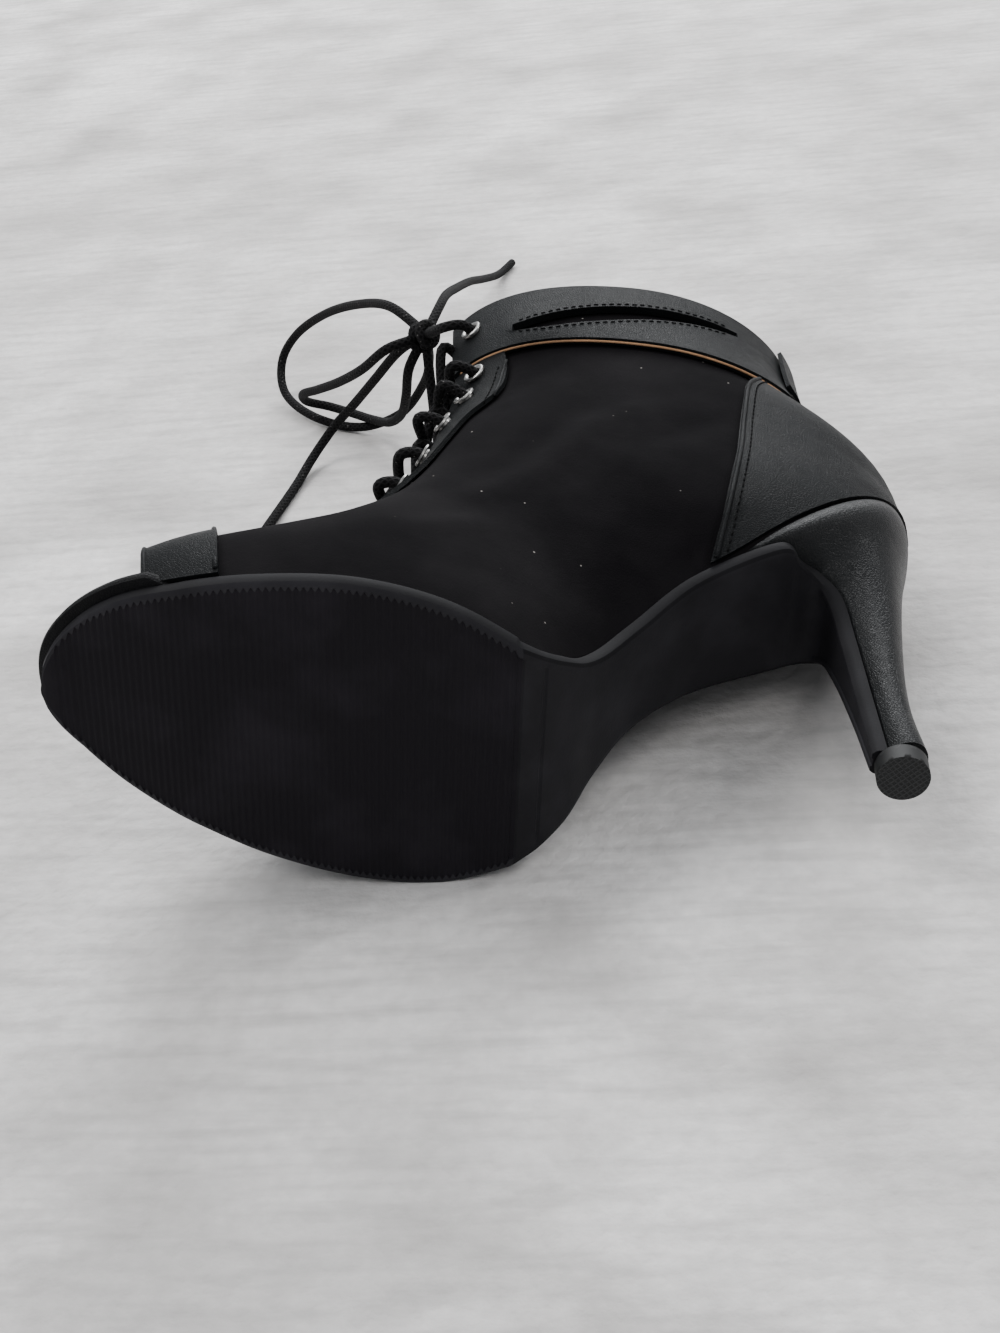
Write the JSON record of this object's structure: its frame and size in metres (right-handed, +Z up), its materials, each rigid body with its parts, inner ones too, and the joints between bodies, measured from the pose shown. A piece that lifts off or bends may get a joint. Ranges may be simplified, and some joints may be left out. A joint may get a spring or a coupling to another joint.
{
  "type": "high heel dance shoe",
  "caption": "Right high heel lace-up dance shoe, open at the toe and throat, with a slotted ankle strap, covered slim heel and a flexible outsole, lying on its outer side.",
  "frame": {"origin": "on the floor under the middle of the shoe's box, the bow's cords left out", "axes": "the shoe lies on its outer side: +Z up, -X to the toe, +Y from the sole to the collar"},
  "size_m": [0.2024, 0.3767, 0.0857],
  "materials": {
    "sole_rubber": "matt black rubber with fine cross ribs on the tread",
    "heel_cover": "black leather stretched over the heel, soft sheen",
    "tip_rubber": "dark hard rubber with a fine crosshatch",
    "insole_skin": "black insole leather",
    "suede": "black suede with short nap and a little dust",
    "smooth_leather": "black smooth leather, soft grey sheen, fine creases",
    "nickel": "bright nickel-plated eyelets",
    "cord": "round braided black cord with tiny light flecks"
  },
  "bodies": {
    "root": {"outsole": "sole_rubber", "heel": "heel_cover", "top_piece": "tip_rubber", "insole": "insole_skin", "upper": "suede", "toe_band": "smooth_leather", "heel_counter": "smooth_leather", "facing_inner": "smooth_leather", "facing_outer": "smooth_leather", "ankle_strap": "smooth_leather", "back_tab": "smooth_leather", "eyelet_inner_1": "nickel", "eyelet_inner_2": "nickel", "eyelet_inner_3": "nickel", "eyelet_inner_4": "nickel", "eyelet_inner_5": "nickel", "eyelet_inner_6": "nickel", "eyelet_inner_7": "nickel", "eyelet_outer_1": "nickel", "eyelet_outer_2": "nickel", "eyelet_outer_3": "nickel", "eyelet_outer_4": "nickel", "eyelet_outer_5": "nickel", "eyelet_outer_6": "nickel", "eyelet_outer_7": "nickel", "lace_crossings": "cord", "lace_knot": "cord", "lace_loop_large": "cord", "lace_loop_small": "cord", "lace_end_upper": "cord", "lace_end_lower": "cord"}
  },
  "joints": []
}
